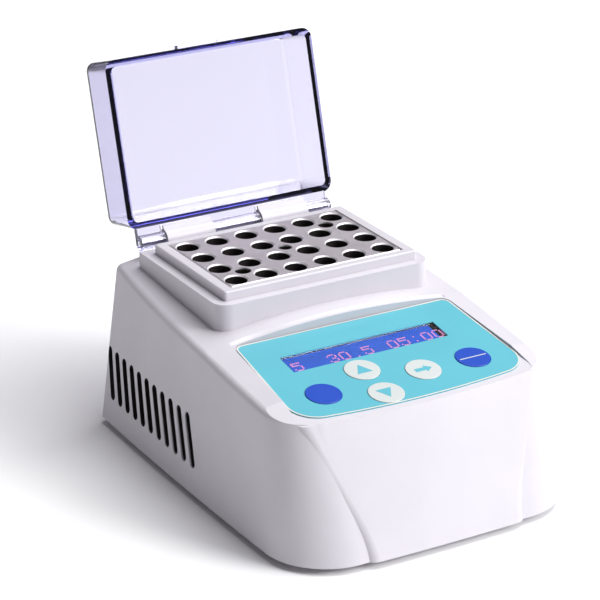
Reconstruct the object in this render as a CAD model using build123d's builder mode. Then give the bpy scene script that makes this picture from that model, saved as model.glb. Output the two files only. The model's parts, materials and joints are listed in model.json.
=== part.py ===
from build123d import *
from math import cos, radians, sin, tan
import os

os.makedirs("parts", exist_ok=True)

# Dry block heater. Millimetres, +Z up, X = 0 is the symmetry plane, Z = 0 is the table.
# The front, with the control panel, faces -Y. Y = 0 is the middle of the whole part with its lid open.

# ---- driving dimensions ----
block_top = 71.5        # top face of the heating block above the table
block_y = 18.19         # middle of the heating block
foot_gap = 2.5          # lower edge of the housing above the table
wall = 2.4              # housing wall thickness

well_pitch = 12.0
well_radius = 4.0
well_depth = 27.0
well_columns = 6
well_rows = 4

base_side = 57.9        # half-width of the housing at its lower edge, where it is widest
top_side = 52.65        # the same at the height where the side walls are set out
base_rear_side = 56.5   # half-width at the rear corners, lower edge
top_rear_side = 48.0
rear_base = block_y + 40.3
rear_top = block_y + 39.3
front_base = block_y - 108.9    # corner wings
front_top = block_y - 86.2
base_corner = 23.5
top_corner = 13.0
rear_corner = 3.0
top_rounding = 2.6      # along the upper edge of the walls

crown_radius = 286.0    # side-to-side curve of the top
crown_slope = 4.1       # fall of the top towards the front, degrees
strip_slope = 6.6       # fall of the strips beside the panel
panel_slope = 8.5       # fall of the panel bed
roll_slope = 14.0       # fall of the strips where they roll down to the panel's front corners
crown_drop = 8.34       # top surface below the block's top face, at the block's middle
panel_drop = 8.75       # panel surface, carried back to the same place
crease = block_y - 36.4
roll_start = block_y - 78.0
panel_back = block_y - 39.7
panel_front = block_y - 92.2
panel_back_side = 43.05
panel_front_side = 46.1
panel_bow = 3.5         # the front edge's middle stands this far ahead of its ends
panel_radius = 10.5
overlay_thick = 0.4

collar_side = 43.2
collar_front = block_y - 30.0
collar_rear = block_y + 30.5
shoulder = block_top - 3.5      # the ledge that the closed lid meets
frame_side = 39.1
frame_depth = 26.5
opening_side = 35.3
opening_depth = 23.5
skirt_side = 37.0       # the frame's skirt, inside the housing
skirt_depth = 24.7
skirt_gap = 0.3
frame_deep = 20.0       # the skirt reaches this far below the block's top face

hinge_y = block_y + 37.3
hinge_z = block_top - 3.4
lean = 15.4             # the open lid leans back this far past vertical
knuckle_radius = 2.9
post_radius = 3.6       # the housing's own knuckles
pin_radius = 1.0
knuckle_mid = 9.8       # lid knuckle -9.8 to 9.8, housing knuckles out to 29.8, lid knuckles out to 39.7
knuckle_out = 29.8
knuckle_end = 39.7
knuckle_gap = 0.35

lid_side = 42.9
lid_near = 5.2          # hinge axis to the lid's hinge-side wall
lid_far = lid_near + 62.1
lid_rise = 0.2          # hinge axis to the rim plane
lid_depth = 21.0
lid_wall = 2.5
lid_draft = 2.7
ridge_length = 17.0     # finger ridge on the lid's far wall
ridge_proud = 0.5
ridge_depth = 9.0
ridge_thick = 2.6

key_radius = 6.3
key_gap = 0.1
key_places = {
    "key_program": (-30.0, -77.7),
    "key_up": (-10.1, -69.7),
    "key_down": (-10.1, -85.3),
    "key_next": (9.4, -77.7),
    "key_start_stop": (29.6, -77.7),
}
window_middle = -1.2
window_length = 62.0
window_height = 10.2
window_y = -56.9


def level(height):
    """Horizontal plane at a height above the table."""
    return Plane.XY.offset(height)


def crown_height(y):
    """Height of the top surface on the symmetry plane."""
    return block_top - crown_drop + (y - block_y) * tan(radians(crown_slope))


def panel_height(y):
    """Height of the panel's outer surface."""
    return block_top - panel_drop + (y - block_y) * tan(radians(panel_slope))


def panel_plane(y, depth=0.0):
    """Plane of the panel through a given y, sunk by a depth; its local x is X and local y points back."""
    tilt = radians(panel_slope)
    normal = Vector(0, -sin(tilt), cos(tilt))
    return Plane(origin=Vector(0, y, panel_height(y)) - normal * depth, x_dir=(1, 0, 0), z_dir=normal)


panel_middle = block_y - 66.0


def on_panel(x, y_from_block):
    """Local place, on the panel plane through panel_middle, of a point given from the block's middle."""
    return (x, (block_y + y_from_block - panel_middle) / cos(radians(panel_slope)))


set_out = block_top - 4.0       # height where the top outline of the walls is set out


def mixed(low_value, high_value, height):
    """Value at a height on a line from the housing's lower edge to the set-out height."""
    return low_value + (high_value - low_value) * (height - foot_gap) / (set_out - foot_gap)


def house_outline(height, inset):
    """Plan outline of the housing at a height: bowed sides, straight rear and front, rounded corners."""
    rear_side = mixed(base_rear_side, top_rear_side, height) - inset
    side = mixed(base_side, top_side, height) - inset
    front_side = side - 1.2
    rear = mixed(rear_base, rear_top, height) - inset
    front = mixed(front_base, front_top, height) + inset
    widest = (rear + front) / 2 - 8
    with BuildSketch(level(height)) as outline:
        with BuildLine():
            Line((-rear_side, rear), (rear_side, rear))
            ThreePointArc((rear_side, rear), (side, widest), (front_side, front))
            Line((front_side, front), (-front_side, front))
            ThreePointArc((-front_side, front), (-side, widest), (-rear_side, rear))
        make_face()
        fillet(outline.vertices().sort_by(Axis.Y)[:2], mixed(base_corner, top_corner, height) - inset)
        fillet(outline.vertices().sort_by(Axis.Y)[-2:], rear_corner - 0.6 * inset)
    return outline.sketch


def house_walls(inset, low, high):
    """The housing's tapered body between two heights, its walls moved in by an inset."""
    loft([house_outline(low, inset), house_outline(high, inset)], ruled=True)


def below_crown(slope, y, height, mode=Mode.INTERSECT):
    """Keeps what lies under a surface that curves from side to side and falls to the front."""
    tilt = radians(slope)
    fall = Plane(origin=(0, y, height), x_dir=(1, 0, 0), z_dir=(0, -cos(tilt), -sin(tilt)))
    reach = 70.0
    sag = crown_radius - (crown_radius**2 - reach**2) ** 0.5
    with BuildSketch(fall) as under:
        with BuildLine():
            ThreePointArc((-reach, -sag), (0, 0), (reach, -sag))
            Polyline((reach, -sag), (reach, -130), (-reach, -130), (-reach, -sag))
        make_face()
    extrude(under.sketch, amount=180, both=True, mode=mode)


def panel_outline(margin, front_margin, depth):
    """The control panel's outline on its own plane: straight tapering sides, large front corners."""
    back = on_panel(0, panel_back - block_y)[1] + margin
    front = on_panel(0, panel_front - block_y)[1] - front_margin
    back_side = panel_back_side + margin
    front_side = panel_front_side + margin
    with BuildSketch(panel_plane(panel_middle, depth)) as outline:
        with BuildLine():
            Line((-back_side, back), (back_side, back))
            Line((back_side, back), (front_side, front + panel_bow))
            ThreePointArc((front_side, front + panel_bow), (0, front), (-front_side, front + panel_bow))
            Line((-front_side, front + panel_bow), (-back_side, back))
        make_face()
        fillet(outline.vertices().sort_by(Axis.Y)[:2], panel_radius + margin)
        fillet(outline.vertices().sort_by(Axis.Y)[-2:], 3.0 + margin)
    return outline.sketch


# ---- upper housing: tapered body, proud front, sunk panel bed, collar, hinge knuckles, vents ----
ribbon_low_front = block_y - 110.9
ribbon_high_front = block_y - 94.6
ribbon_high = panel_height(ribbon_high_front) + 4.0
ribbon_rake = (ribbon_high_front - ribbon_low_front) / (panel_height(ribbon_high_front) - foot_gap)
ribbon_root = block_y - 76.0    # the proud part is rooted this deep in the body
ribbon_rounding = 4.0
ribbon_proud = 0.3      # stands this far out of the panel and strips, before the pocket is cut
strip_height = crown_height(crease)
roll_height = strip_height + (roll_start - crease) * tan(radians(strip_slope))


def ribbon_outline(height, half):
    """Plan outline of the proud front centre at a height; its front bows out more towards the top."""
    front = ribbon_low_front + ribbon_rake * (height - foot_gap)
    ends = front + 0.5 + 2.7 * (height - foot_gap) / (ribbon_high - foot_gap)
    with BuildSketch(level(height)) as outline:
        with BuildLine():
            Line((-half, ribbon_root), (half, ribbon_root))
            Line((half, ribbon_root), (half, ends))
            ThreePointArc((half, ends), (0, front), (-half, ends))
            Line((-half, ends), (-half, ribbon_root))
        make_face()
        fillet(outline.vertices().sort_by(Axis.Y)[:2], ribbon_rounding)
    return outline.sketch


with BuildPart() as front_ribbon:
    # half-widths of the concave sides, from the lower edge up to the panel
    loft(
        [
            ribbon_outline(foot_gap, 31.4),
            ribbon_outline(block_top - 51.0, 36.5),
            ribbon_outline(block_top - 35.3, 42.9),
            ribbon_outline(block_top - 26.0, 46.3),
            ribbon_outline(ribbon_high, 49.3),
        ]
    )
    below_crown(strip_slope, crease, strip_height - ribbon_proud)
    below_crown(roll_slope, roll_start, roll_height - ribbon_proud)
    with BuildSketch(panel_plane(panel_middle, -ribbon_proud)):
        Rectangle(140, 140)
    extrude(amount=20, mode=Mode.SUBTRACT)

with BuildPart() as cavity:
    house_walls(wall, foot_gap - 1.0, set_out + 2.0)
    below_crown(crown_slope, block_y, crown_height(block_y) - wall)
    below_crown(strip_slope, crease, strip_height - wall)
    below_crown(roll_slope, roll_start, roll_height - wall)
    with BuildSketch(panel_plane(panel_middle, overlay_thick + wall)):
        with Locations(on_panel(0, -100.0)):
            Rectangle(140, 130)
    extrude(amount=30, mode=Mode.SUBTRACT)

# Everything the panel sinks into the top: a pocket over the overlay and a ramp up to the crease.
with BuildPart() as pocket:
    extrude(panel_outline(0.5, 8.0, overlay_thick), amount=18)
    ramp_back = crease + 2.0
    ramp_front = panel_back + 0.9
    run = (ramp_back - crease) / (crease - ramp_front)
    ramp_side = panel_back_side + 0.4
    side_sag = ramp_side**2 / (2 * crown_radius)
    foot = panel_height(ramp_front) - overlay_thick
    crest = strip_height
    ceiling = block_top + 10
    sections = []
    for y, middle, side_height in (
        (ramp_front, foot + 0.01, foot),
        (ramp_back, crest + run * (crest - foot), crest - side_sag + run * (crest - side_sag - foot)),
    ):
        with BuildSketch(Plane(origin=(0, y, 0), x_dir=(1, 0, 0), z_dir=(0, -1, 0))) as section:
            with BuildLine():
                ThreePointArc((-ramp_side, side_height), (0, middle), (ramp_side, side_height))
                Polyline(
                    (ramp_side, side_height),
                    (ramp_side, ceiling),
                    (-ramp_side, ceiling),
                    (-ramp_side, side_height),
                )
            make_face()
        sections.append(section.sketch)
    loft(sections, ruled=True)

vent_count = 11
vent_pitch = 6.47
vent_slope = 20.2
vent_length = 19.8
vent_width = 3.6
vent_middle = block_y + 33.6 - vent_pitch * (vent_count - 1) / 2
vent_height = 21.4

socket_x = 27.0
socket_z = 17.0
switch_x = -25.0
switch_z = 19.0
rear_wall = mixed(rear_base, rear_top, socket_z)

case_screws_at = [(x, block_y + y) for x, y in ((-49.3, 33.0), (49.3, 33.0), (-51.3, -74.0), (51.3, -74.0))]
feet_at = [(x, block_y + y) for x, y in ((-44.0, 26.0), (44.0, 26.0), (-38.0, -90.0), (38.0, -90.0))]
board_posts_at = [(x, y) for y in (-45.5, -87.0) for x in (-39.8, 39.8)]
board_depth = 11.5
boss_radius = 3.4
screw_radius = 1.4


def side_plane(x):
    """Plane facing +X at a given x through the hinge axis; its local x is Y and local y is Z."""
    return Plane(origin=(x, hinge_y, hinge_z), x_dir=(0, 1, 0), z_dir=(1, 0, 0))


with BuildPart() as upper_housing:
    house_walls(0.0, foot_gap, set_out)
    below_crown(crown_slope, block_y, crown_height(block_y))
    below_crown(strip_slope, crease, strip_height)
    top_faces = upper_housing.faces().filter_by(lambda face: face.normal_at().Z > 0.8)
    top_edges = [edge for face in top_faces for edge in face.edges()]
    fillet([edge for edge in top_edges if top_edges.count(edge) == 1], top_rounding)
    below_crown(roll_slope, roll_start, roll_height)
    add(front_ribbon.part)
    add(pocket.part, mode=Mode.SUBTRACT)
    # collar
    with BuildSketch(level(block_top - 16)):
        with Locations((0, (collar_front + collar_rear) / 2)):
            Rectangle(2 * collar_side, collar_rear - collar_front)
    extrude(amount=shoulder - block_top + 16)
    uprights = upper_housing.edges().filter_by(Axis.Z)
    front_uprights = uprights.filter_by(lambda edge: abs(edge.center().Y - collar_front) < 0.1)
    fillet(front_uprights, 5.5)
    # hinge knuckles on webs behind the collar
    for end in (knuckle_mid, -knuckle_out):
        with BuildSketch(side_plane(end + knuckle_gap / 2)) as knuckle:
            Circle(post_radius)
            with Locations((-3.6, -3.8)):
                Rectangle(8.0, 7.2)
            with BuildLine():
                Polyline((-0.8, 3.4), (0.8, 3.4), (1.5, 4.7), (0.6, 4.9), (-0.8, 3.4))
            make_face()
        extrude(amount=knuckle_out - knuckle_mid - knuckle_gap)
    add(cavity.part, mode=Mode.SUBTRACT)
    # hollow of the collar and the opening for the block frame
    with BuildSketch(level(block_top - frame_deep)):
        with Locations((0, (collar_front + collar_rear) / 2)):
            Rectangle(2 * (collar_side - wall), collar_rear - collar_front - 2 * wall)
    extrude(amount=shoulder - block_top + frame_deep - wall, mode=Mode.SUBTRACT)
    with BuildSketch(level(block_top - frame_deep)):
        with Locations((0, block_y)):
            Rectangle(2 * (skirt_side + skirt_gap), 2 * (skirt_depth + skirt_gap))
    extrude(amount=30, mode=Mode.SUBTRACT)
    # room for the lid's knuckles, and the pin bore
    for start, end in (
        (-knuckle_end - 0.5, -knuckle_out + knuckle_gap / 2),
        (-knuckle_mid - knuckle_gap / 2, knuckle_mid + knuckle_gap / 2),
        (knuckle_out - knuckle_gap / 2, knuckle_end + 0.5),
    ):
        with BuildSketch(side_plane(start)):
            Circle(knuckle_radius + 0.5)
        extrude(amount=end - start, mode=Mode.SUBTRACT)
    with BuildSketch(side_plane(-knuckle_end)):
        Circle(pin_radius + 0.02)
    extrude(amount=2 * knuckle_end, mode=Mode.SUBTRACT)
    # vents, raked like the front
    with BuildSketch(Plane(origin=(-80, vent_middle, vent_height), x_dir=(0, 1, 0), z_dir=(1, 0, 0))):
        with GridLocations(vent_pitch, 1, vent_count, 1):
            SlotOverall(vent_length, vent_width, rotation=90 - vent_slope)
    extrude(amount=160, mode=Mode.SUBTRACT)
    # display window, key recesses and key stem holes
    with BuildSketch(panel_plane(panel_middle)):
        with Locations(on_panel(window_middle, window_y)):
            Rectangle(window_length, window_height)
    extrude(amount=-8, mode=Mode.SUBTRACT)
    with BuildSketch(panel_plane(panel_middle)):
        with Locations([on_panel(*place) for place in key_places.values()]):
            Circle(key_radius + key_gap)
    extrude(amount=-1.9, mode=Mode.SUBTRACT)
    with BuildSketch(panel_plane(panel_middle)):
        with Locations([on_panel(*place) for place in key_places.values()]):
            Circle(2.4)
    extrude(amount=-8, mode=Mode.SUBTRACT)
    # posts for the control board
    with BuildSketch(panel_plane(panel_middle, board_depth)):
        with Locations([on_panel(*place) for place in board_posts_at]):
            Circle(2.8)
    extrude(amount=board_depth - overlay_thick - wall / 2)
    with BuildSketch(panel_plane(panel_middle, board_depth)):
        with Locations([on_panel(*place) for place in board_posts_at]):
            Circle(1.02)
    extrude(amount=6.5, mode=Mode.SUBTRACT)
    # bosses for the case screws, growing out of the walls
    with BuildSketch(level(foot_gap + wall + 0.2)):
        with Locations(case_screws_at):
            Circle(boss_radius)
    extrude(amount=17)
    with BuildSketch(level(foot_gap)):
        with Locations(case_screws_at):
            Circle(screw_radius + 0.02)
    extrude(amount=18, mode=Mode.SUBTRACT)
    # openings for the power socket and the switch in the rear wall
    with BuildSketch(Plane(origin=(0, rear_wall + 5, 0), x_dir=(1, 0, 0), z_dir=(0, -1, 0))):
        with Locations((socket_x, socket_z)):
            Circle(4.8)
        with Locations((switch_x, switch_z)):
            Rectangle(12.8, 18.8)
    extrude(amount=12, mode=Mode.SUBTRACT)
upper_housing.part.label = "upper_housing"
export_step(upper_housing.part, "parts/upper_housing.step")

# ---- base plate, feet and case screws ----
plate_top = foot_gap + wall
with BuildPart() as base_plate:
    house_walls(wall + 0.25, foot_gap, plate_top)
    with BuildSketch(level(foot_gap)):
        with Locations(case_screws_at):
            Circle(screw_radius + 0.2)
        with Locations(feet_at):
            Circle(2.0)
        with Locations((0, block_y - 62)):
            with GridLocations(7, 1, 9, 1):
                SlotOverall(24, 2.4, rotation=90)
        with Locations((0, block_y + 12)):
            with GridLocations(7, 1, 7, 1):
                SlotOverall(24, 2.4, rotation=90)
    extrude(amount=wall, mode=Mode.SUBTRACT)
base_plate.part.label = "base_plate"
export_step(base_plate.part, "parts/base_plate.step")

with BuildPart() as rubber_feet:
    with BuildSketch():
        with Locations(feet_at):
            Circle(6.0)
    extrude(amount=foot_gap)
    chamfer(rubber_feet.faces().sort_by(Axis.Z)[:4].edges(), 0.6)
    with BuildSketch(level(foot_gap)):
        with Locations(feet_at):
            Circle(2.0)
    extrude(amount=wall)
    with BuildSketch(level(foot_gap + wall)):
        with Locations(feet_at):
            Circle(2.9)
    extrude(amount=1.2)
rubber_feet.part.label = "rubber_feet"
export_step(rubber_feet.part, "parts/rubber_feet.step")

with BuildPart() as case_screws:
    with BuildSketch(level(foot_gap)):
        with Locations(case_screws_at):
            Circle(2.7)
    extrude(amount=-1.5)
    fillet(case_screws.faces().sort_by(Axis.Z)[:4].edges(), 0.7)
    with BuildSketch(level(foot_gap - 1.5)):
        with Locations(case_screws_at):
            Rectangle(0.7, 3.4)
            Rectangle(3.4, 0.7)
    extrude(amount=0.8, mode=Mode.SUBTRACT)
    with BuildSketch(level(foot_gap)):
        with Locations(case_screws_at):
            Circle(screw_radius)
    extrude(amount=15)
case_screws.part.label = "case_screws"
export_step(case_screws.part, "parts/case_screws.step")

with BuildPart() as rating_plate:
    with BuildSketch(level(foot_gap)):
        with Locations((0, block_y - 26)):
            RectangleRounded(46, 22, 2)
    extrude(amount=-0.3)
rating_plate.part.label = "rating_plate"
export_step(rating_plate.part, "parts/rating_plate.step")

# ---- control panel ----
with BuildPart() as panel_overlay:
    extrude(panel_outline(0.0, 0.0, overlay_thick), amount=overlay_thick)
    with BuildSketch(panel_plane(panel_middle)):
        with Locations(on_panel(window_middle, window_y)):
            Rectangle(window_length, window_height)
        with Locations([on_panel(*place) for place in key_places.values()]):
            Circle(key_radius + key_gap)
    extrude(amount=-1, mode=Mode.SUBTRACT)
panel_overlay.part.label = "panel_overlay"
export_step(panel_overlay.part, "parts/panel_overlay.step")

key_crown = 0.3         # key faces stand this far above the overlay
stem_end = 6.0
for key_name, place in key_places.items():
    with BuildPart() as key:
        with BuildSketch(panel_plane(panel_middle, 1.1)):
            with Locations(on_panel(*place)):
                Circle(key_radius)
        extrude(amount=1.1 + key_crown)
        face_edge = key.edges().sort_by(Axis.Z)[-1]
        fillet(face_edge, 0.25)
        with BuildSketch(panel_plane(panel_middle, 1.1)):
            with Locations(on_panel(*place)):
                Circle(2.1)
        extrude(amount=-(stem_end - 1.1))
    key.part.label = key_name
    export_step(key.part, "parts/" + key_name + ".step")

under_wall = overlay_thick + wall
lens_depth = 0.25       # lens face below the overlay's surface
lens_thick = 0.9
window_gap = 0.1
bezel_top = lens_depth + lens_thick
glass_thick = 1.8
glass_left = 0.6        # bezel rim beside the display glass, wider on the right
glass_right = 2.4
glass_rim = 0.45
display_depth = 7.8     # the display's circuit board below the overlay's surface
glass_middle = window_middle + (glass_left - glass_right) / 2
glass_length = window_length - glass_left - glass_right
glass_height = window_height - 2 * glass_rim
with BuildPart() as display_lens:
    with BuildSketch(panel_plane(panel_middle, bezel_top)):
        with Locations(on_panel(window_middle, window_y)):
            Rectangle(window_length - 2 * window_gap, window_height - 2 * window_gap)
    extrude(amount=lens_thick)
display_lens.part.label = "display_lens"
export_step(display_lens.part, "parts/display_lens.step")

with BuildPart() as display_glass:
    with BuildSketch(panel_plane(panel_middle, bezel_top)):
        with Locations(on_panel(glass_middle, window_y)):
            Rectangle(glass_length, glass_height)
    extrude(amount=-glass_thick)
display_glass.part.label = "display_glass"
export_step(display_glass.part, "parts/display_glass.step")

with BuildPart() as display_bezel:
    with BuildSketch(panel_plane(panel_middle, under_wall)):
        with Locations(on_panel(window_middle, window_y)):
            Rectangle(68, 17.6)
    extrude(amount=under_wall - display_depth)
    with BuildSketch(panel_plane(panel_middle, under_wall)):
        with Locations(on_panel(window_middle, window_y)):
            Rectangle(window_length - 2 * window_gap, window_height - 2 * window_gap)
    extrude(amount=under_wall - bezel_top)
    with BuildSketch(panel_plane(panel_middle, bezel_top)):
        with Locations(on_panel(glass_middle, window_y)):
            Rectangle(glass_length, glass_height)
    extrude(amount=-glass_thick, mode=Mode.SUBTRACT)
display_bezel.part.label = "display_bezel"
export_step(display_bezel.part, "parts/display_bezel.step")

with BuildPart() as display_board:
    with BuildSketch(panel_plane(panel_middle, display_depth)):
        with Locations(on_panel(window_middle, window_y)):
            Rectangle(70, 17.6)
    extrude(amount=-1.4)
display_board.part.label = "display_board"
export_step(display_board.part, "parts/display_board.step")

with BuildPart() as control_board:
    with BuildSketch(panel_plane(panel_middle, board_depth)):
        with Locations(on_panel(0, -66.2)):
            RectangleRounded(88, 47.5, 2)
        with Locations([on_panel(*place) for place in board_posts_at]):
            Circle(1.3, mode=Mode.SUBTRACT)
    extrude(amount=-1.6)
control_board.part.label = "control_board"
export_step(control_board.part, "parts/control_board.step")

with BuildPart() as board_chips:
    with BuildSketch(panel_plane(panel_middle, board_depth + 1.6)):
        for x, y, length, width in ((-8, -62, 12, 12), (16, -60, 9, 5), (16, -70, 6, 5), (-28, -70, 8, 5)):
            with Locations(on_panel(x, y)):
                Rectangle(length, width)
    extrude(amount=-1.5)
board_chips.part.label = "board_chips"
export_step(board_chips.part, "parts/board_chips.step")

with BuildPart() as board_screws:
    with BuildSketch(panel_plane(panel_middle, board_depth + 1.6)):
        with Locations([on_panel(*place) for place in board_posts_at]):
            Circle(2.1)
    extrude(amount=-1.4)
    with BuildSketch(panel_plane(panel_middle, board_depth + 1.6)):
        with Locations([on_panel(*place) for place in board_posts_at]):
            Circle(1.0)
    extrude(amount=6.5)
board_screws.part.label = "board_screws"
export_step(board_screws.part, "parts/board_screws.step")

with BuildPart() as key_switches:
    with BuildSketch(panel_plane(panel_middle, board_depth)):
        with Locations([on_panel(*place) for place in key_places.values()]):
            Rectangle(6, 6)
    extrude(amount=3.5)
    with BuildSketch(panel_plane(panel_middle, board_depth - 3.5)):
        with Locations([on_panel(*place) for place in key_places.values()]):
            Circle(1.75)
    extrude(amount=3.5 - stem_end - 0.45 + board_depth - 3.5 - 3.5)
key_switches.part.label = "key_switches"
export_step(key_switches.part, "parts/key_switches.step")

# ---- block frame, heating block and the heater stack under it ----
with BuildPart() as block_frame:
    with BuildSketch(level(shoulder)):
        with Locations((0, block_y)):
            RectangleRounded(2 * frame_side, 2 * frame_depth, 1.0)
    extrude(amount=block_top - shoulder)
    chamfer(block_frame.faces().sort_by(Axis.Z)[-1].edges(), 0.4)
    with BuildSketch(level(block_top - frame_deep)):
        with Locations((0, block_y)):
            RectangleRounded(2 * skirt_side, 2 * skirt_depth, 1.5)
    extrude(amount=shoulder - block_top + frame_deep)
    with BuildSketch(level(block_top - frame_deep)):
        with Locations((0, block_y)):
            Rectangle(2 * opening_side, 2 * opening_depth)
    extrude(amount=frame_deep, mode=Mode.SUBTRACT)
block_frame.part.label = "block_frame"
export_step(block_frame.part, "parts/block_frame.step")

block_height = 32.0
block_bottom = block_top - block_height
block_screws_at = [(-24.0, block_y - 12.0), (24.0, block_y + 12.0)]
with BuildPart() as heating_block:
    with BuildSketch(level(block_bottom)):
        with Locations((0, block_y)):
            Rectangle(2 * 34.7, 2 * 22.9)
    extrude(amount=block_height)
    chamfer(heating_block.edges().filter_by(Axis.Z), 0.6)
    chamfer(heating_block.faces().sort_by(Axis.Z)[-1].edges(), 0.3)
    with Locations(Plane.XY.offset(block_top)):
        with Locations((0, block_y)):
            with GridLocations(well_pitch, well_pitch, well_columns, well_rows):
                CounterSinkHole(well_radius, well_radius + 0.45, depth=20, counter_sink_angle=90)
    with Locations((0, block_y, block_top - 20)):
        with GridLocations(well_pitch, well_pitch, well_columns, well_rows):
            Cone(1.6, well_radius, well_depth - 20, align=(Align.CENTER, Align.CENTER, Align.MAX), mode=Mode.SUBTRACT)
    with BuildSketch(level(block_top)):
        with Locations(block_screws_at):
            Circle(3.0)
    extrude(amount=-24, mode=Mode.SUBTRACT)
    with BuildSketch(level(block_top)):
        with Locations(block_screws_at):
            Circle(1.7)
    extrude(amount=-block_height, mode=Mode.SUBTRACT)
    with BuildSketch(level(block_top)):
        with Locations((0, block_y)):
            Circle(2.5)
    extrude(amount=-14, mode=Mode.SUBTRACT)
heating_block.part.label = "heating_block"
export_step(heating_block.part, "parts/heating_block.step")

plate_thick = 7.1
heater_plate_bottom = block_bottom - plate_thick
spacers_at = [(x, block_y + y) for y in (-24.0, 24.0) for x in (-35.5, 35.5)]
sensor_z = heater_plate_bottom + 3.6
with BuildPart() as heater_plate:
    with BuildSketch(level(heater_plate_bottom)):
        with Locations((0, block_y)):
            Rectangle(78, 54)
    extrude(amount=plate_thick)
    with BuildSketch(level(block_bottom)):
        with Locations(block_screws_at):
            Circle(1.52)
    extrude(amount=-6, mode=Mode.SUBTRACT)
    with BuildSketch(level(heater_plate_bottom)):
        with Locations(spacers_at):
            Circle(screw_radius + 0.02)
    extrude(amount=5, mode=Mode.SUBTRACT)
    with BuildSketch(Plane(origin=(0, block_y + 27, sensor_z), x_dir=(1, 0, 0), z_dir=(0, -1, 0))):
        Circle(1.55)
    extrude(amount=24, mode=Mode.SUBTRACT)
heater_plate.part.label = "heater_plate"
export_step(heater_plate.part, "parts/heater_plate.step")

with BuildPart() as block_screws:
    with BuildSketch(level(block_top - 24)):
        with Locations(block_screws_at):
            Circle(2.75)
    extrude(amount=3)
    with BuildSketch(level(block_top - 21)):
        with Locations(block_screws_at):
            RegularPolygon(1.45, 6)
    extrude(amount=-1.8, mode=Mode.SUBTRACT)
    with BuildSketch(level(block_top - 24)):
        with Locations(block_screws_at):
            Circle(1.5)
    extrude(amount=-13.5)
block_screws.part.label = "block_screws"
export_step(block_screws.part, "parts/block_screws.step")

film_thick = 1.2
with BuildPart() as heater_film:
    with BuildSketch(level(heater_plate_bottom)):
        with Locations((0, block_y)):
            RectangleRounded(62, 44, 2)
    extrude(amount=-film_thick)
heater_film.part.label = "heater_film"
export_step(heater_film.part, "parts/heater_film.step")

bracket_top = 25.2
bracket_thick = 1.2
bracket_posts_at = [(x, block_y + y) for y in (-18.0, 18.0) for x in (-46.0, 46.0)]
with BuildPart() as insulation_pad:
    with BuildSketch(level(bracket_top)):
        with Locations((0, block_y)):
            Rectangle(84, 58)
        with Locations(spacers_at):
            Circle(2.8, mode=Mode.SUBTRACT)
    extrude(amount=heater_plate_bottom - film_thick - bracket_top)
insulation_pad.part.label = "insulation_pad"
export_step(insulation_pad.part, "parts/insulation_pad.step")

with BuildPart() as insulation_jacket:
    with BuildSketch(level(block_bottom)):
        with Locations((0, block_y)):
            Rectangle(80, 54.5)
            Rectangle(70.4, 46.8, mode=Mode.SUBTRACT)
    extrude(amount=block_top - 20.3 - block_bottom)
insulation_jacket.part.label = "insulation_jacket"
export_step(insulation_jacket.part, "parts/insulation_jacket.step")

with BuildPart() as plate_spacers:
    with BuildSketch(level(bracket_top)):
        with Locations(spacers_at):
            Circle(2.5)
            Circle(1.6, mode=Mode.SUBTRACT)
    extrude(amount=heater_plate_bottom - bracket_top)
plate_spacers.part.label = "plate_spacers"
export_step(plate_spacers.part, "parts/plate_spacers.step")

with BuildPart() as plate_screws:
    with BuildSketch(level(bracket_top - bracket_thick)):
        with Locations(spacers_at):
            Circle(2.6)
    extrude(amount=-1.8)
    with BuildSketch(level(bracket_top - bracket_thick)):
        with Locations(spacers_at):
            Circle(screw_radius)
    extrude(amount=12.5)
plate_screws.part.label = "plate_screws"
export_step(plate_screws.part, "parts/plate_screws.step")

with BuildPart() as carrier_bracket:
    with BuildSketch(level(bracket_top)):
        with Locations((0, block_y)):
            Rectangle(98, 46)
            Rectangle(86, 58)
        with Locations(spacers_at):
            Circle(1.6, mode=Mode.SUBTRACT)
        with Locations(bracket_posts_at):
            Circle(1.6, mode=Mode.SUBTRACT)
        with Locations((0, block_y)):
            Rectangle(40, 20, mode=Mode.SUBTRACT)
    extrude(amount=-bracket_thick)
carrier_bracket.part.label = "carrier_bracket"
export_step(carrier_bracket.part, "parts/carrier_bracket.step")

with BuildPart() as bracket_posts:
    with BuildSketch(level(plate_top)):
        with Locations(bracket_posts_at):
            RegularPolygon(3.0, 6)
            Circle(screw_radius + 0.02, mode=Mode.SUBTRACT)
    extrude(amount=bracket_top - bracket_thick - plate_top)
bracket_posts.part.label = "bracket_posts"
export_step(bracket_posts.part, "parts/bracket_posts.step")

with BuildPart() as bracket_screws:
    with BuildSketch(level(bracket_top)):
        with Locations(bracket_posts_at):
            Circle(2.5)
    extrude(amount=1.6)
    with BuildSketch(level(bracket_top)):
        with Locations(bracket_posts_at):
            Circle(screw_radius)
    extrude(amount=-8)
bracket_screws.part.label = "bracket_screws"
export_step(bracket_screws.part, "parts/bracket_screws.step")

with BuildPart() as temperature_sensor:
    with BuildSketch(Plane(origin=(0, block_y + 31, sensor_z), x_dir=(1, 0, 0), z_dir=(0, -1, 0))):
        Circle(1.5)
    extrude(amount=27)
    fillet(temperature_sensor.faces().sort_by(Axis.Y)[0].edges(), 0.6)
temperature_sensor.part.label = "temperature_sensor"
export_step(temperature_sensor.part, "parts/temperature_sensor.step")

with BuildPart() as thermal_cutout:
    with BuildSketch(level(heater_plate_bottom)):
        with Locations((16, block_y - 27 - 2.5)):
            RectangleRounded(12, 5, 1.2)
    extrude(amount=6.0)
thermal_cutout.part.label = "thermal_cutout"
export_step(thermal_cutout.part, "parts/thermal_cutout.step")

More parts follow.
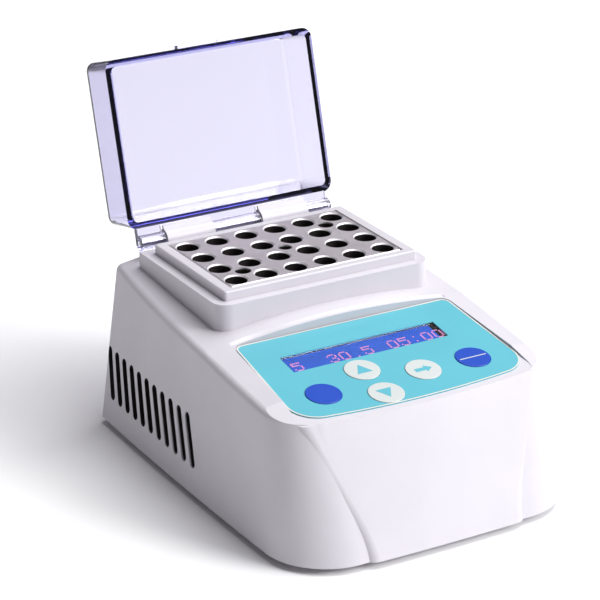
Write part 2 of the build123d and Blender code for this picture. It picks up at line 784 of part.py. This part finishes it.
# ---- power side: board, socket, switch ----
power_board_z = 10.0
power_board_at = (-10.0, block_y + 8.0)
power_posts_at = [(power_board_at[0] + x, power_board_at[1] + y) for y in (-14.0, 14.0) for x in (-21.0, 21.0)]
with BuildPart() as power_board:
    with BuildSketch(level(power_board_z)):
        with Locations(power_board_at):
            RectangleRounded(48, 34, 1.5)
        with Locations(power_posts_at):
            Circle(1.3, mode=Mode.SUBTRACT)
    extrude(amount=1.6)
power_board.part.label = "power_board"
export_step(power_board.part, "parts/power_board.step")

with BuildPart() as power_components:
    board_face = power_board_z + 1.6
    for x, y, radius, height in ((-9, 3, 4.0, 10), (1, 3, 4.0, 10)):
        with BuildSketch(level(board_face)):
            with Locations((power_board_at[0] + x, power_board_at[1] + y)):
                Circle(radius)
        extrude(amount=height)
    for x, y, length, width, height in (
        (17, 5, 7, 7, 4),
        (-14, -8, 9, 5, 3),
        (6, -9, 14, 4, 7),
        (19, -6, 6, 8, 8),
        (-18, 4, 5, 6, 6),
    ):
        with BuildSketch(level(board_face)):
            with Locations((power_board_at[0] + x, power_board_at[1] + y)):
                Rectangle(length, width)
        extrude(amount=height)
power_components.part.label = "power_components"
export_step(power_components.part, "parts/power_components.step")

with BuildPart() as power_board_posts:
    with BuildSketch(level(plate_top)):
        with Locations(power_posts_at):
            Circle(2.6)
            Circle(1.02, mode=Mode.SUBTRACT)
    extrude(amount=power_board_z - plate_top)
power_board_posts.part.label = "power_board_posts"
export_step(power_board_posts.part, "parts/power_board_posts.step")

with BuildPart() as power_board_screws:
    with BuildSketch(level(power_board_z + 1.6)):
        with Locations(power_posts_at):
            Circle(2.1)
    extrude(amount=1.3)
    with BuildSketch(level(power_board_z + 1.6)):
        with Locations(power_posts_at):
            Circle(1.0)
    extrude(amount=-5.5)
power_board_screws.part.label = "power_board_screws"
export_step(power_board_screws.part, "parts/power_board_screws.step")


def rear_plane(x, z, out=0.0):
    """Plane on the rear wall, facing back; its local x is -X and local y is up."""
    return Plane(origin=(x, rear_wall + out, z), x_dir=(-1, 0, 0), z_dir=(0, 1, 0))


socket_bore = 3.0
socket_depth = 9.5
with BuildPart() as power_socket:
    with BuildSketch(rear_plane(socket_x, socket_z, -wall - 0.15)):
        with Locations((0, 0)):
            Rectangle(10.5, 11)
    extrude(amount=-13)
    with BuildSketch(rear_plane(socket_x, socket_z, -wall - 0.15)):
        Circle(4.65)
    extrude(amount=wall + 0.45)
    with BuildSketch(rear_plane(socket_x, socket_z, 0.3)):
        Circle(socket_bore)
    extrude(amount=-socket_depth, mode=Mode.SUBTRACT)
power_socket.part.label = "power_socket"
export_step(power_socket.part, "parts/power_socket.step")

with BuildPart() as socket_pin:
    with BuildSketch(rear_plane(socket_x, socket_z, 0.3 - socket_depth)):
        Circle(1.0)
    extrude(amount=socket_depth - 1.0)
    fillet(socket_pin.faces().sort_by(Axis.Y)[-1].edges(), 0.4)
socket_pin.part.label = "socket_pin"
export_step(socket_pin.part, "parts/socket_pin.step")

rocker_half = 7.6
with BuildPart() as switch_body:
    with BuildSketch(rear_plane(switch_x, switch_z, 0.35)):
        RectangleRounded(15.0, 21.0, 1.0)
    extrude(amount=1.8)
    chamfer(switch_body.faces().sort_by(Axis.Y)[-1].edges(), 0.5)
    with BuildSketch(rear_plane(switch_x, switch_z, 0.35)):
        Rectangle(12.4, 18.4)
    extrude(amount=-10.5)
    with BuildSketch(rear_plane(switch_x, switch_z, 2.15)):
        Rectangle(11.0, 16.8)
    extrude(amount=-10.5, mode=Mode.SUBTRACT)
switch_body.part.label = "switch_body"
export_step(switch_body.part, "parts/switch_body.step")

rocker_tilt = 7.0
rocker_out = -1.2       # rocker pivot, measured out from the rear wall
with BuildPart() as switch_rocker:
    rocker_plane = Plane(
        origin=(switch_x - 5.2, rear_wall + rocker_out, switch_z),
        x_dir=(0, cos(radians(rocker_tilt)), sin(radians(rocker_tilt))),
        z_dir=(1, 0, 0),
    )
    with BuildSketch(rocker_plane):
        with BuildLine():
            ThreePointArc((3.4, -rocker_half), (1.9, 0), (3.4, rocker_half))
            Polyline((3.4, rocker_half), (-2.0, 6.6), (-4.6, 2.0), (-4.6, -2.0), (-2.0, -6.6), (3.4, -rocker_half))
        make_face()
    extrude(amount=10.4)
switch_rocker.part.label = "switch_rocker"
export_step(switch_rocker.part, "parts/switch_rocker.step")

# ---- internal wiring: round leads on straight runs joined by arcs ----
def lead(points, radii, start, start_normal, radius):
    """A round lead along straight runs joined by tangent arcs."""
    with BuildLine() as route:
        FilletPolyline(*points, radius=radii)
    with BuildSketch(Plane(origin=start, z_dir=start_normal)) as section:
        Circle(radius)
    sweep(section.sketch, path=route.line)


film_middle = heater_plate_bottom - film_thick / 2
terminal_y = power_board_at[1] - 9.0        # middle of the board's terminal block, 4 wide
with BuildPart() as heater_leads:
    for x in (-8.0, -4.0):
        start = (x, block_y - 22.3, film_middle)
        bends = [(x, block_y - 33.0, film_middle), (x, block_y - 33.0, 14.0)]
        lead([start, *bends, (x, terminal_y - 2.0, 14.0)], 4.0, start, (0, -1, 0), 0.55)
heater_leads.part.label = "heater_leads"
export_step(heater_leads.part, "parts/heater_leads.step")

with BuildPart() as sensor_lead:
    start = (0, block_y + 31.0, sensor_z)
    bends = [(0, block_y + 35.5, sensor_z), (0, block_y + 35.5, 14.5)]
    lead([start, *bends, (0, terminal_y + 2.0, 14.5)], 3.0, start, (0, 1, 0), 0.6)
sensor_lead.part.label = "sensor_lead"
export_step(sensor_lead.part, "parts/sensor_lead.step")

socket_inner = rear_wall - wall - 0.15 - 13.0
inlet_x = power_board_at[0] + 19.0 + 3.0
inlet_y = power_board_at[1] - 6.0
with BuildPart() as supply_leads:
    for z in (14.6, 17.4):
        start = (socket_x, socket_inner, z)
        lead([start, (socket_x, inlet_y, z), (inlet_x, inlet_y, z)], 6.0, start, (0, -1, 0), 0.8)
supply_leads.part.label = "supply_leads"
export_step(supply_leads.part, "parts/supply_leads.step")

switch_inner = rear_wall + 0.35 - 10.5
with BuildPart() as switch_leads:
    with BuildSketch(Plane(origin=(0, switch_inner, 0), x_dir=(1, 0, 0), z_dir=(0, -1, 0))):
        with Locations((power_board_at[0] - 19.2, 15.0), (power_board_at[0] - 16.8, 15.0)):
            Circle(0.8)
    extrude(amount=switch_inner - power_board_at[1] - 7.0)
switch_leads.part.label = "switch_leads"
export_step(switch_leads.part, "parts/switch_leads.step")

ribbon_x = 22.0
ribbon_start = panel_plane(block_y - 52.0, board_depth + 1.6 + 3.0)
with BuildPart() as panel_plug:
    with BuildSketch(panel_plane(block_y - 52.0, board_depth + 1.6)):
        with Locations((ribbon_x, 0)):
            Rectangle(16, 5)
    extrude(amount=-3.0)
panel_plug.part.label = "panel_plug"
export_step(panel_plug.part, "parts/panel_plug.step")

with BuildPart() as ribbon_cable:
    first = ribbon_start.origin
    second = ribbon_start.offset(-8.0).origin
    with BuildLine() as flat_route:
        FilletPolyline(
            (ribbon_x, first.Y, first.Z),
            (ribbon_x, second.Y, second.Z),
            (ribbon_x, block_y - 38.0, 8.0),
            (ribbon_x, block_y - 14.0, 8.0),
            radius=5.0,
        )
    with BuildSketch(Plane(origin=(ribbon_x, first.Y, first.Z), x_dir=(1, 0, 0), z_dir=-ribbon_start.z_dir)) as flat:
        Rectangle(14, 0.7)
    sweep(flat.sketch, path=flat_route.line)
ribbon_cable.part.label = "ribbon_cable"
export_step(ribbon_cable.part, "parts/ribbon_cable.step")

with BuildPart() as ribbon_plug:
    with BuildSketch(level(plate_top)):
        with Locations((ribbon_x, block_y - 11.5)):
            Rectangle(16, 5)
    extrude(amount=6.0)
ribbon_plug.part.label = "ribbon_plug"
export_step(ribbon_plug.part, "parts/ribbon_plug.step")

# ---- lid, in its open position, and the hinge pin ----
lean_angle = radians(lean)
lid_plane = Plane(
    origin=(0, hinge_y, hinge_z),
    x_dir=(-1, 0, 0),
    z_dir=(0, cos(lean_angle), -sin(lean_angle)),
)


def lid_level(depth):
    """Plane parallel to the lid's rim, at a depth behind the hinge axis; local y runs up the open lid."""
    return lid_plane.offset(depth)


lid_middle = (lid_near + lid_far) / 2
lid_height = lid_far - lid_near
with BuildPart() as lid:
    with BuildSketch(lid_level(lid_rise)):
        with Locations((0, lid_middle)):
            RectangleRounded(2 * lid_side, lid_height, 4.0)
    extrude(amount=lid_depth, taper=lid_draft)
    back_face = lid.faces().sort_by(Axis(lid_plane.origin, lid_plane.z_dir))[-1]
    fillet(back_face.edges(), 3.6)
    with BuildSketch(lid_level(lid_rise + ridge_depth)):
        with Locations((0, lid_far - lid_wall / 2)):
            RectangleRounded(ridge_length, lid_wall + 2 * ridge_proud, ridge_proud)
    extrude(amount=ridge_thick)
    with BuildSketch(lid_level(lid_rise)):
        with Locations((0, lid_middle)):
            RectangleRounded(2 * (lid_side - lid_wall), lid_height - 2 * lid_wall, 2.0)
    extrude(amount=lid_depth - lid_wall, taper=lid_draft, mode=Mode.SUBTRACT)
    # hinge flap, notched round the housing's knuckles
    with BuildSketch(lid_level(lid_rise)):
        with Locations((0, lid_near / 2 + 0.4)):
            Rectangle(2 * knuckle_end, lid_near + 0.8)
        for side in (-1, 1):
            with Locations((side * (knuckle_mid + knuckle_out) / 2, lid_near / 2 - 0.35)):
                Rectangle(knuckle_out - knuckle_mid + knuckle_gap, lid_near + 0.1, mode=Mode.SUBTRACT)
    extrude(amount=lid_wall)
    for start, end in ((-knuckle_end, -knuckle_out), (-knuckle_mid, knuckle_mid), (knuckle_out, knuckle_end)):
        shorten = knuckle_gap / 2
        left = start + (shorten if start > -knuckle_end else 0)
        right = end - (shorten if end < knuckle_end else 0)
        with BuildSketch(side_plane(left)):
            Circle(knuckle_radius)
        extrude(amount=right - left)
    with BuildSketch(side_plane(-knuckle_end - 1)):
        Circle(pin_radius + 0.06)
    extrude(amount=2 * knuckle_end + 2, mode=Mode.SUBTRACT)
lid.part.label = "lid"
export_step(lid.part, "parts/lid.step")

with BuildPart() as hinge_pin:
    with BuildSketch(side_plane(-knuckle_end + 0.4)):
        Circle(pin_radius)
    extrude(amount=2 * knuckle_end - 0.8)
hinge_pin.part.label = "hinge_pin"
export_step(hinge_pin.part, "parts/hinge_pin.step")
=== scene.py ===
import json
import math

import bmesh
import bpy
from mathutils import Matrix, Vector


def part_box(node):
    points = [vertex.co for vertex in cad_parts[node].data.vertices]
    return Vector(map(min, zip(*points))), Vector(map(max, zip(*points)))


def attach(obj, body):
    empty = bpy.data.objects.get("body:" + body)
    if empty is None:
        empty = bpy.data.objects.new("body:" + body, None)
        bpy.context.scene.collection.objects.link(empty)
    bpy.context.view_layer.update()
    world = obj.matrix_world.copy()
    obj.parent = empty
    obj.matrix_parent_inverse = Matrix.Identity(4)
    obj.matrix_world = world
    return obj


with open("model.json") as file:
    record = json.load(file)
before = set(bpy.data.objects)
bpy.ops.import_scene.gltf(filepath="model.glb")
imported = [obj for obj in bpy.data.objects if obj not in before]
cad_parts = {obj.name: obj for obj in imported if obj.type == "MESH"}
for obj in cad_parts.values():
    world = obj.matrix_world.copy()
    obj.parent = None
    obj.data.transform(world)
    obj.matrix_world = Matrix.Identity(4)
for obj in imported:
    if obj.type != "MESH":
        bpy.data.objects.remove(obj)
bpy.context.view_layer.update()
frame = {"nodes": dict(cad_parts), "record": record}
nodes = frame["nodes"]
MM = 0.001


# ---------------------------------------------------------------- camera
CAMERA_AT = (-0.43913, -0.74950, 0.41873)
AZIMUTH, ELEVATION, ROLL = -30.113, 22.581, -0.183
SENSOR = 36.0
FOCAL_PIXELS = 2647.5
PICTURE = 600


def make_camera():
    a = math.radians(AZIMUTH)
    e = math.radians(ELEVATION)
    r = math.radians(ROLL)
    back = Vector((math.sin(a) * math.cos(e), -math.cos(a) * math.cos(e), math.sin(e)))
    right = Vector((math.cos(a), math.sin(a), 0))
    up = back.cross(right)
    rolled_right = right * math.cos(r) + up * math.sin(r)
    rolled_up = up * math.cos(r) - right * math.sin(r)
    data = bpy.data.cameras.new("camera")
    data.sensor_width = SENSOR
    data.lens = FOCAL_PIXELS * SENSOR / PICTURE
    data.clip_start = 0.02
    data.clip_end = 30
    camera = bpy.data.objects.new("camera", data)
    bpy.context.scene.collection.objects.link(camera)
    turn = Matrix((rolled_right, rolled_up, back)).transposed()
    camera.matrix_world = Matrix.Translation(CAMERA_AT) @ turn.to_4x4()
    bpy.context.scene.camera = camera


make_camera()


# ---------------------------------------------------------------- material helpers
class Tree:
    """A short way to write a material's nodes. Places are in metres, in the part's own frame."""

    def __init__(self, name):
        self.material = bpy.data.materials.new(name)
        self.material.use_nodes = True
        self.nodes = self.material.node_tree.nodes
        self.links = self.material.node_tree.links
        self.shader = self.nodes["Principled BSDF"]
        self.output = self.nodes["Material Output"]
        self.place = self.node("TexCoord", out="Object")

    def put(self, socket, value):
        if isinstance(value, bpy.types.NodeSocket):
            self.links.new(value, socket)
        elif socket.type == "RGBA" and len(value) == 3:
            socket.default_value = (*value, 1)
        else:
            socket.default_value = value

    def set(self, **values):
        for key, value in values.items():
            self.put(self.shader.inputs[key.replace("_", " ")], value)

    def node(self, kind, inputs=None, out=0, **settings):
        made = self.nodes.new("ShaderNode" + kind)
        for key, value in settings.items():
            setattr(made, key, value)
        for key, value in (inputs or {}).items():
            self.put(made.inputs[key], value)
        return made.outputs[out]

    def stretched(self, x, y, z):
        return self.node("Mapping", {"Vector": self.place, "Scale": (x, y, z)})

    def noise(self, scale, detail=3.0, rough=0.5, place=None):
        inputs = {"Vector": place or self.place, "Scale": scale, "Detail": detail, "Roughness": rough}
        return self.node("TexNoise", inputs)

    def cells(self, scale):
        return self.node("TexVoronoi", {"Vector": self.place, "Scale": scale})

    def split(self, axis, place=None):
        return self.node("SeparateXYZ", {"Vector": place or self.place}, out=axis)

    def span(self, value, low, high, to_low=0.0, to_high=1.0):
        inputs = {"Value": value, "From Min": low, "From Max": high, "To Min": to_low, "To Max": to_high}
        return self.node("MapRange", inputs)

    def math(self, operation, a, b=0.0):
        return self.node("Math", {0: a, 1: b}, operation=operation)

    def mix(self, share, a, b):
        made = self.nodes.new("ShaderNodeMix")
        made.data_type = "RGBA"
        for index, value in ((0, share), (6, a), (7, b)):
            self.put(made.inputs[index], value)
        return made.outputs[2]

    def bump(self, height, strength, distance):
        self.set(Normal=self.node("Bump", {"Height": height, "Strength": strength, "Distance": distance}))


def shade(color, factor):
    return tuple(min(1.0, c * factor) for c in color)


def moulded(name, color, rough=0.38, grain=1500.0, depth=0.00002, vary=0.02):
    """Moulded plastic: a very fine texture and slow changes of tone."""
    t = Tree(name)
    fine = t.noise(grain, 2)
    slow = t.noise(38, 3)
    t.set(Base_Color=t.mix(t.span(slow, 0.35, 0.65), shade(color, 1 - vary), shade(color, 1 + vary)))
    t.set(Roughness=t.span(fine, 0.3, 0.7, rough - 0.03, rough + 0.05))
    t.bump(fine, 0.15, depth)
    return t


def metal(name, color, rough, along, vary=0.06, depth=0.00001):
    """Metal whose fine marks run along the short direction of the scale given."""
    t = Tree(name)
    marks = t.noise(1.0, 3, 0.6, t.stretched(*along))
    t.set(Base_Color=t.mix(marks, shade(color, 1 - vary), shade(color, 1 + vary)), Metallic=1.0)
    t.set(Roughness=t.span(marks, 0.3, 0.7, rough - 0.06, rough + 0.08))
    t.bump(marks, 0.2, depth)
    return t


def clear(name, color, density, rough=0.015, smear=0.03):
    """Clear plastic: light fades with its way through the wall, so long ways look dark."""
    t = Tree(name)
    haze = t.noise(60, 4)
    t.set(Base_Color=(1, 1, 1), Transmission_Weight=1.0, IOR=1.49)
    t.set(Roughness=t.span(haze, 0.4, 0.8, rough, rough + smear))
    if density:
        absorb = t.node("VolumeAbsorption", {"Color": color, "Density": density})
        t.put(t.output.inputs["Volume"], absorb)
    return t


# ---------------------------------------------------------------- materials, one for each slot
HOUSING = (0.585, 0.565, 0.61)
CYAN = (0.085, 0.40, 0.49)
KEY_BLUE = (0.0, 0.05, 0.42)
KEY_WHITE = (0.53, 0.57, 0.56)
VENT_MIDDLE = 21.4 * MM
VENT_HALF = 11.5 * MM
VENT_RAKE = math.tan(math.radians(20.2))
VENTS_FRONT, VENTS_REAR = -15.0 * MM, 53.8 * MM     # the row of vents, measured at their middle height
SIDE_TAPER = 5.25 * MM      # the side walls lean in by this much from bottom to top
SLOT_BRIGHT = (0.45 * MM, 0.9 * MM)     # the shadow in a slot starts between these depths
SLOT_DEEP = (4.6 * MM, 4.2 * MM)        # and ends between these
# colour of the painted shadow in the vent slots
PAINTED_SLOT_SHADE = (0.012, 0.011, 0.013)


def housing_white():
    """Satin moulding, with the shadow of the hollow body painted into the vent slots."""
    t = moulded("housing_white", HOUSING, 0.36)
    low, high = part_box("upper_housing")
    height = t.split(2)
    above = t.math("SUBTRACT", height, VENT_MIDDLE)
    outer = t.span(height, low.z, high.z, high.x, high.x - SIDE_TAPER)
    sunk = t.math("SUBTRACT", outer, t.math("ABSOLUTE", t.split(0)))
    near = t.span(t.math("ABSOLUTE", above), VENT_HALF, VENT_HALF - 0.1 * MM)
    along = t.math("SUBTRACT", t.split(1), t.math("MULTIPLY", above, VENT_RAKE))
    behind_front = t.math("GREATER_THAN", along, VENTS_FRONT)
    within = t.math("MULTIPLY", behind_front, t.math("LESS_THAN", along, VENTS_REAR))
    facing = t.math("ABSOLUTE", t.split(0, t.node("NewGeometry", out="Normal")))
    edgewise = t.span(facing, 0.80, 0.60)
    inside = within
    for part in (near, edgewise, t.span(sunk, *SLOT_DEEP), t.span(sunk, *SLOT_BRIGHT)):
        inside = t.math("MULTIPLY", inside, part)
    base = t.shader.inputs["Base Color"].links[0].from_socket
    # painted shadow: slot walls between about 0.9 and 4.2 mm in from the outer face are coloured near
    # black
    t.set(Base_Color=t.mix(inside, base, PAINTED_SLOT_SHADE))
    return t


def block_aluminium():
    """Bead-blasted top with bright chamfers, and painted shade down in the wells."""
    t = Tree("block_aluminium")
    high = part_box("heating_block")[1]
    marks = t.noise(900, 3, 0.6)
    patches = t.noise(90, 4)
    height = t.split(2)
    top = t.mix(t.span(patches, 0.3, 0.7), (0.50, 0.46, 0.50), (0.58, 0.54, 0.58))
    edge = t.mix(t.span(height, high.z - 0.06 * MM, high.z - 0.02 * MM), (0.90, 0.88, 0.90), top)
    depth = t.span(height, high.z - 0.5 * MM, high.z - 0.7 * MM)
    # painted shade: the walls of the wells are coloured near black below 0.7 mm from the top
    t.set(Base_Color=t.mix(depth, edge, (0.045, 0.038, 0.04)))
    t.set(Metallic=0.85, Roughness=t.span(marks, 0.3, 0.7, 0.46, 0.60))
    t.bump(marks, 0.2, 0.00001)
    return t


def lid_clear():
    """Clear tinted plastic: faint lavender through a wall, deep blue along it, as at the rim."""
    t = clear("lid_clear", (0.02, 0.0, 0.86), 22.0)
    t.set(Base_Color=t.mix(t.noise(25, 2), (0.755, 0.74, 0.85), (0.765, 0.75, 0.855)))
    return t


def board_green():
    t = moulded("board_green", (0.015, 0.16, 0.06), 0.3)
    tracks = t.node("TexBrick", {"Vector": t.place, "Scale": 260.0, "Mortar Size": 0.03}, out="Fac")
    base = t.shader.inputs["Base Color"].links[0].from_socket
    t.set(Base_Color=t.mix(tracks, base, (0.03, 0.26, 0.10)))
    return t


def ribbon_grey():
    t = moulded("ribbon_grey", (0.35, 0.36, 0.38), 0.45)
    wires = t.math("PINGPONG", t.math("ADD", t.split(0), 1.0), 0.000635)
    t.bump(wires, 0.6, 0.0003)
    return t


def display_blue():
    t = Tree("display_blue")
    glow = t.noise(30, 2)
    lit = t.mix(t.span(glow, 0.3, 0.7), (0.045, 0.16, 0.86), (0.08, 0.21, 0.90))
    t.set(Base_Color=(0.004, 0.01, 0.08), Roughness=0.6, Emission_Color=lit)
    t.set(Emission_Strength=0.92, Specular_IOR_Level=0.1)
    return t


def foam_grey():
    t = moulded("foam_grey", (0.10, 0.10, 0.11), 0.9)
    pores = t.cells(900)
    t.bump(pores, 0.7, 0.0004)
    return t


SLOTS = {
    "housing_white": housing_white,
    "base_white": lambda: moulded("base_white", shade(HOUSING, 0.9), 0.45),
    "rubber_black": lambda: moulded("rubber_black", (0.02, 0.02, 0.022), 0.75, 900, 0.00006, 0.2),
    "screw_steel": lambda: metal("screw_steel", (0.55, 0.55, 0.57), 0.3, (4000, 500, 500)),
    "label_silver": lambda: metal("label_silver", (0.62, 0.62, 0.64), 0.35, (200, 5000, 5000), 0.04),
    "overlay_cyan": lambda: moulded("overlay_cyan", CYAN, 0.42, 2400),
    "key_blue": lambda: moulded("key_blue", KEY_BLUE, 0.36, 2400),
    "key_white": lambda: moulded("key_white", KEY_WHITE, 0.36, 2400),
    "lens_clear": lambda: clear("lens_clear", (1, 1, 1), 0.0),
    "display_blue": display_blue,
    "bezel_black": lambda: moulded("bezel_black", (0.008, 0.008, 0.009), 0.5),
    "board_green": board_green,
    "chip_black": lambda: moulded("chip_black", (0.02, 0.02, 0.024), 0.5),
    "block_aluminium": block_aluminium,
    "plate_aluminium": lambda: metal("plate_aluminium", (0.55, 0.55, 0.57), 0.35, (3000, 200, 3000)),
    "silicone_orange": lambda: moulded("silicone_orange", (0.45, 0.10, 0.02), 0.6),
    "foam_grey": foam_grey,
    "spacer_white": lambda: moulded("spacer_white", (0.70, 0.68, 0.62), 0.5),
    "bracket_steel": lambda: metal("bracket_steel", (0.52, 0.52, 0.54), 0.35, (300, 3000, 3000)),
    "post_brass": lambda: metal("post_brass", (0.60, 0.42, 0.14), 0.3, (2500, 2500, 300)),
    "socket_black": lambda: moulded("socket_black", (0.012, 0.012, 0.014), 0.35),
    "rocker_black": lambda: moulded("rocker_black", (0.010, 0.010, 0.011), 0.25),
    "wire_red": lambda: moulded("wire_red", (0.42, 0.012, 0.012), 0.4),
    "wire_white": lambda: moulded("wire_white", (0.65, 0.65, 0.62), 0.4),
    "ribbon_grey": ribbon_grey,
    "lid_clear": lid_clear,
}
made_slots = {}


def slot_material(slot):
    if slot not in made_slots:
        made_slots[slot] = SLOTS[slot]().material
    return made_slots[slot]


for entry in frame["record"]["subparts"]:
    data = nodes[entry["node"]].data
    data.materials.clear()
    data.materials.append(slot_material(entry["material_slot"]))


# ---------------------------------------------------------------- printed and lit details
BLOCK_TOP = 71.5
BLOCK_Y = 18.19
PANEL_DROP = 8.75
PANEL_SLOPE = math.radians(8.5)
KEY_CROWN = 0.3
INK = 0.04              # thickness of a printed layer
KEY_PLACES = {
    "key_up": (-10.1, -69.7),
    "key_down": (-10.1, -85.3),
    "key_next": (9.4, -77.7),
    "key_start_stop": (29.6, -77.7),
}
WINDOW_X, WINDOW_Y = -1.2, -56.9


def on_panel(x, y, lift):
    """A point over the panel's surface; x and y are millimetres from the block's middle."""
    height = BLOCK_TOP - PANEL_DROP + y * math.tan(PANEL_SLOPE)
    normal = Vector((0, -math.sin(PANEL_SLOPE), math.cos(PANEL_SLOPE)))
    return (Vector((x, BLOCK_Y + y, height)) + normal * lift) * MM


def finished(name, mesh, body, material):
    """Turns a mesh under construction into a piece that rides on a body."""
    bmesh.ops.recalc_face_normals(mesh, faces=mesh.faces)
    data = bpy.data.meshes.new(name)
    mesh.to_mesh(data)
    mesh.free()
    data.materials.append(material)
    piece = bpy.data.objects.new(name, data)
    bpy.context.scene.collection.objects.link(piece)
    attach(piece, body)
    return piece


def printed(name, shapes, place, lift, body, material):
    """Flat closed shapes laid on the panel at a height over it, each one a thin solid of its own."""
    mesh = bmesh.new()
    for shape in shapes:
        bottom = [mesh.verts.new(on_panel(place[0] + x, place[1] + y, lift)) for x, y in shape]
        top = [mesh.verts.new(on_panel(place[0] + x, place[1] + y, lift + INK)) for x, y in shape]
        mesh.faces.new(top)
        mesh.faces.new(bottom[::-1])
        for i in range(len(shape)):
            j = (i + 1) % len(shape)
            mesh.faces.new((bottom[i], bottom[j], top[j], top[i]))
    piece = finished(name, mesh, body, material)


def box_shape(x, y, length, width):
    """A rectangle about a middle point."""
    left, right = x - length / 2, x + length / 2
    near, far = y - width / 2, y + width / 2
    return [(left, near), (right, near), (right, far), (left, far)]


CLEARANCE = 0.005       # under a printed layer
key_lift = KEY_CROWN + CLEARANCE
cyan = slot_material("overlay_cyan")
white = slot_material("key_white")
up_arrow = [(-3.0, -2.2), (3.0, -2.2), (0.0, 3.1)]
down_arrow = [(-3.0, 2.2), (0.0, -3.1), (3.0, 2.2)]
right_arrow = [(-3.3, -0.95), (0.7, -0.95), (0.7, -2.0), (3.4, 0.0), (0.7, 2.0), (0.7, 0.95), (-3.3, 0.95)]
for key, arrow in (("key_up", up_arrow), ("key_down", down_arrow), ("key_next", right_arrow)):
    printed(key + "_arrow", [arrow], KEY_PLACES[key], key_lift, key, cyan)
divider = box_shape(0, 0, 10.6, 0.45)
start_stop = "key_start_stop"
printed("key_start_stop_divider", [divider], KEY_PLACES[start_stop], key_lift, start_stop, white)


def digit_material():
    """Pale pink light of the display's dots."""
    t = Tree("digit_pink")
    t.set(Base_Color=(0.2, 0.05, 0.1), Roughness=0.6, Specular_IOR_Level=0.1)
    glow = t.mix(t.noise(300, 1), (0.78, 0.30, 0.62), (0.88, 0.42, 0.70))
    t.set(Emission_Color=glow, Emission_Strength=0.9)
    return t.material


# Each digit is five dots wide and seven high, written as rows from the top.
DIGITS = {
    "0": ("01110", "10001", "10001", "10001", "10001", "10001", "01110"),
    "3": ("01110", "10001", "00001", "00110", "00001", "10001", "01110"),
    "5": ("11111", "10000", "11110", "00001", "00001", "10001", "01110"),
    ".": ("00000", "00000", "00000", "00000", "00000", "00000", "00100"),
    ":": ("00000", "00100", "00000", "00000", "00000", "00100", "00000"),
}
DOT = 0.62
DOT_PITCH = 0.74
DIGIT_PITCH = 4.6
DIGIT_LOW = -1.6        # middle row of a digit, from the window's middle
READINGS = {"5": -29.0, "30.5": -15.0, "05:00": 9.0}    # each with its first dot's place
dots = []
for reading, start in READINGS.items():
    for place, character in enumerate(reading):
        for row, marks in enumerate(DIGITS[character]):
            for column, mark in enumerate(marks):
                if mark == "1":
                    x = start + place * DIGIT_PITCH + column * DOT_PITCH
                    dots.append(box_shape(x, DIGIT_LOW + (3 - row) * DOT_PITCH, DOT, DOT))
GLASS_DEPTH = 1.15      # display glass below the panel's surface
BORDER_INSET = 0.05
BORDER = 0.5


def border_ring(name, node, inset, width, material):
    """A thin printed ring just inside the outline of a node's upper face."""
    source = bmesh.new()
    source.from_mesh(nodes[node].data)
    bmesh.ops.remove_doubles(source, verts=source.verts, dist=0.001 * MM)
    upward = Vector((0, -math.sin(PANEL_SLOPE), math.cos(PANEL_SLOPE)))
    upper = {face for face in source.faces if face.normal.dot(upward) > 0.99}
    following = {}
    for face in upper:
        for loop in face.loops:
            if sum(linked in upper for linked in loop.edge.link_faces) == 1:
                following[loop.vert] = loop.link_loop_next.vert
    start = max(following, key=lambda vert: vert.co.y)
    outline = [start]
    while following[outline[-1]] is not start:
        outline.append(following[outline[-1]])
    places = [vert.co.copy() for vert in outline]
    source.free()
    mesh = bmesh.new()
    loops = []
    low, high = CLEARANCE * MM, INK * MM
    for distance, lift in ((inset, low), (inset, high), (inset + width, high), (inset + width, low)):
        loop = []
        for i, place in enumerate(places):
            after = places[(i + 1) % len(places)] - place
            before = place - places[i - 1]
            along = after.normalized() + before.normalized()
            inward = upward.cross(along.normalized())
            loop.append(mesh.verts.new(place + inward * distance + upward * lift))
        loops.append(loop)
    for k in range(len(loops)):
        one, two = loops[k], loops[(k + 1) % len(loops)]
        for i in range(len(places)):
            j = (i + 1) % len(places)
            mesh.faces.new((one[i], one[j], two[j], two[i]))
    finished(name, mesh, "housing", material)


cream = moulded("border_cream", (0.66, 0.62, 0.55), 0.45).material
border_ring("overlay_border", "panel_overlay", BORDER_INSET * MM, BORDER * MM, cream)
printed("display_digits", dots, (WINDOW_X, WINDOW_Y), CLEARANCE - GLASS_DEPTH, "housing", digit_material())


# ---------------------------------------------------------------- stage
def floor_piece():
    data = bpy.data.meshes.new("floor")
    half = 8.0
    corners = [(-half, -half, 0), (half, -half, 0), (half, half, 0), (-half, half, 0)]
    data.from_pydata(corners, [], [(0, 1, 2, 3)])
    obj = bpy.data.objects.new("floor", data)
    bpy.context.scene.collection.objects.link(obj)
    t = Tree("floor_white")
    t.set(Base_Color=t.mix(t.noise(2.0, 2), (0.90, 0.90, 0.91), (0.92, 0.92, 0.925)), Roughness=0.8)
    t.set(Specular_IOR_Level=0.1)
    data.materials.append(t.material)


def area_light(name, at, aim, size, power):
    data = bpy.data.lights.new(name, "AREA")
    data.shape = "RECTANGLE"
    data.size, data.size_y = size
    data.energy = power
    obj = bpy.data.objects.new(name, data)
    bpy.context.scene.collection.objects.link(obj)
    obj.location = at
    obj.rotation_mode = "QUATERNION"
    obj.rotation_quaternion = (Vector(aim) - Vector(at)).to_track_quat("-Z", "Y")


floor_piece()
area_light("key", (1.3, -1.6, 1.15), (0, 0, 0.05), (1.0, 1.0), 48)
area_light("overhead", (0.75, 0.0, 1.9), (0.1, 0, 0.03), (1.6, 1.6), 44)
world = bpy.data.worlds.new("studio")
world.use_nodes = True
background = world.node_tree.nodes["Background"]
background.inputs["Color"].default_value = (0.96, 0.92, 1.0, 1)
background.inputs["Strength"].default_value = 0.20
bpy.context.scene.world = world
bpy.context.scene.view_settings.view_transform = "Standard"
